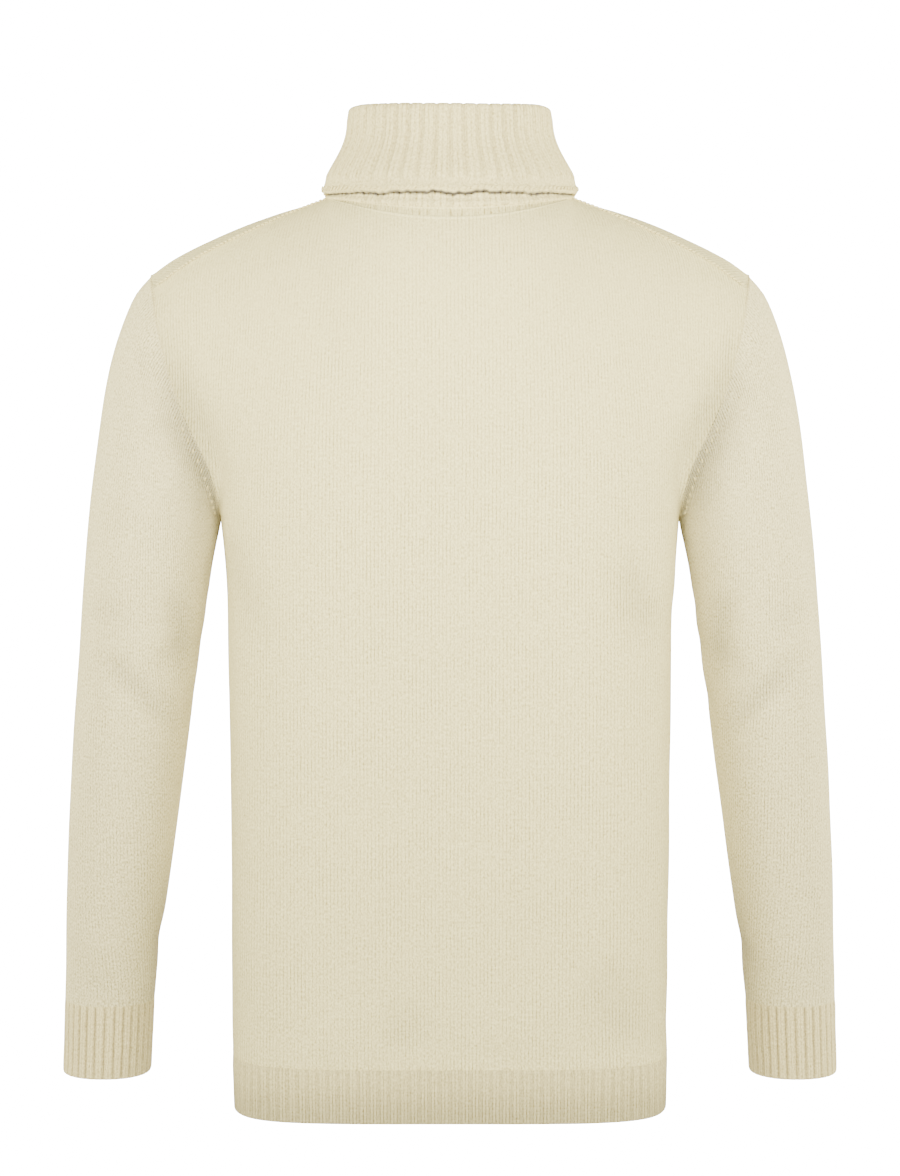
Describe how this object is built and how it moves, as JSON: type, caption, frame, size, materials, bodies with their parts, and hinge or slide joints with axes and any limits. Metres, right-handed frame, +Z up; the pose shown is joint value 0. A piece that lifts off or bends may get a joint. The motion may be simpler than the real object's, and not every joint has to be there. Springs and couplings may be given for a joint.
{
  "type": "half-zip sweater",
  "caption": "Long-sleeved half-zip sweater in its worn, hollow shape: knitted walls, turned-down ribbed collar, neck zip with a swinging pull tab, ribbed cuffs and hem.",
  "frame": {"origin": "middle of the neck base, between the shoulders, where the wearer carries the garment", "axes": "+Z up towards the collar, -Y the front with the zip, +X towards the wearer's left sleeve"},
  "size_m": [0.6108, 0.2255, 0.7647],
  "materials": {
    "wool_knit": "napped",
    "wool_rib": "napped",
    "zip_tape": "woven",
    "zip_metal": "satin"
  },
  "bodies": {
    "garment": {"back_panel": "wool_knit", "front_panel": "wool_knit", "sleeve_left": "wool_knit", "sleeve_right": "wool_knit", "cuff_left": "wool_rib", "cuff_right": "wool_rib", "hem_rib_back": "wool_rib", "hem_rib_front": "wool_rib", "collar": "wool_rib", "zip_tape_left": "zip_tape", "zip_tape_right": "zip_tape", "zip_slider": "zip_metal", "zip_bottom_stop": "zip_metal", "zip_top_stop_left": "zip_metal", "zip_top_stop_right": "zip_metal"},
    "pull_tab": {"zip_pull_tab": "zip_metal"}
  },
  "joints": [
    {"name": "pull_tab_swing", "type": "hinge", "parent": "garment", "child": "pull_tab", "pos_m": [0, -0.10932, -0.1166], "axis": [-1, 0, 0], "range_deg": [0, 165]}
  ]
}
